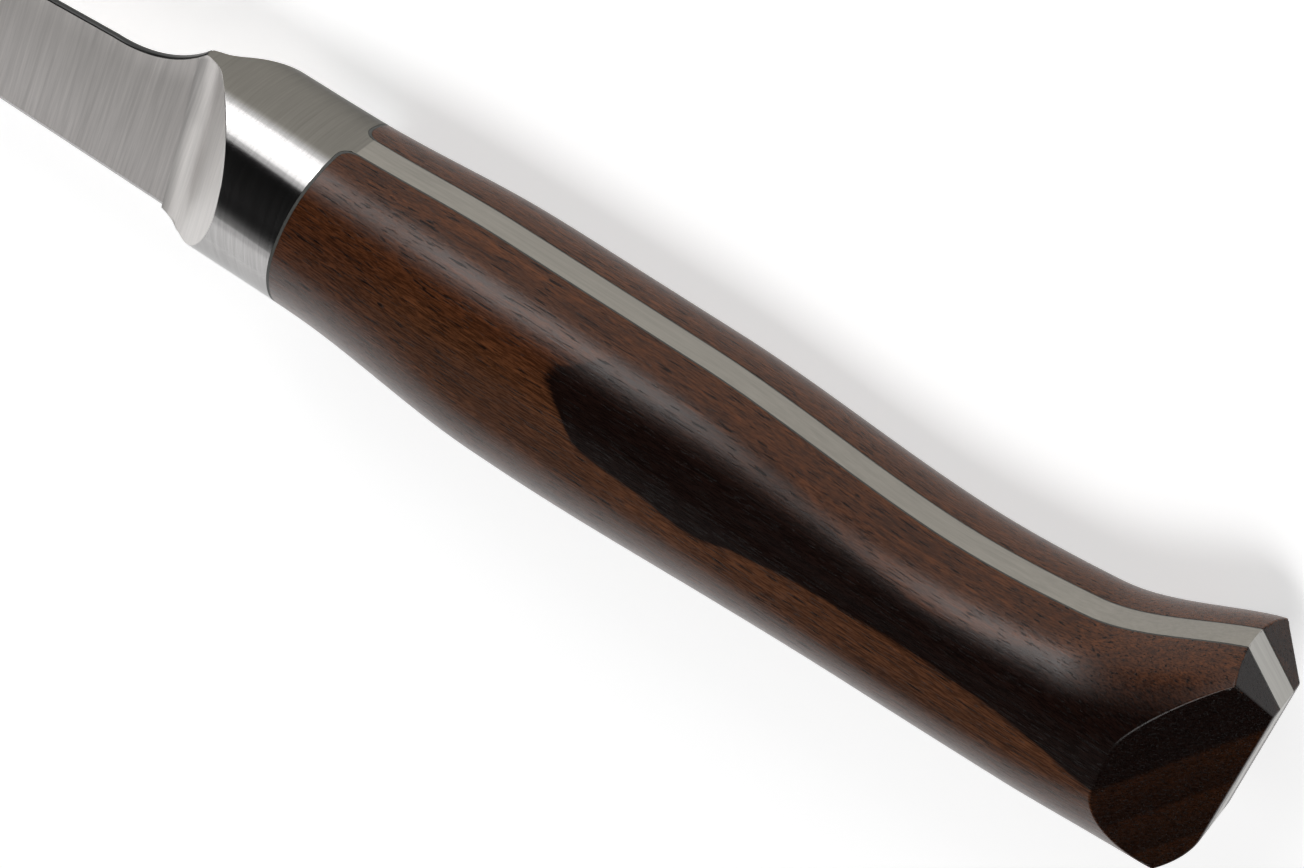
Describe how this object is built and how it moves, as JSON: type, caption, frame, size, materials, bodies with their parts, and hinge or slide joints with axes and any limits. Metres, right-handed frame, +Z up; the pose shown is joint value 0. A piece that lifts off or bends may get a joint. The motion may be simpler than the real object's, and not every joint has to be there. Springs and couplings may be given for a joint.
{
  "type": "fillet knife",
  "caption": "Slim fillet knife with a long narrow blade, a forged bolster and full tang, and dark wooden scales with a faceted, upswept butt.",
  "frame": {"origin": "centre of the bounding box, on the surface that the knife lies on", "axes": "+Z up out of the left side of the blade as the knife lies on its right side, +X from the point to the butt, +Y from the cutting edge to the spine"},
  "size_m": [0.3132, 0.0344, 0.0219],
  "materials": {
    "steel": "satin ground blade, polished bolster, brushed tang edge",
    "stained_wood": "dark stained hardwood, satin oil finish",
    "adhesive": "dark grey filled epoxy, ground flush",
    "pin_steel": "drawn wire, as cut"
  },
  "bodies": {
    "root": {"forged_blade": "steel", "left_scale": "stained_wood", "right_scale": "stained_wood", "left_bedding": "adhesive", "right_bedding": "adhesive", "front_pin": "pin_steel", "middle_pin": "pin_steel", "rear_pin": "pin_steel"}
  },
  "joints": []
}
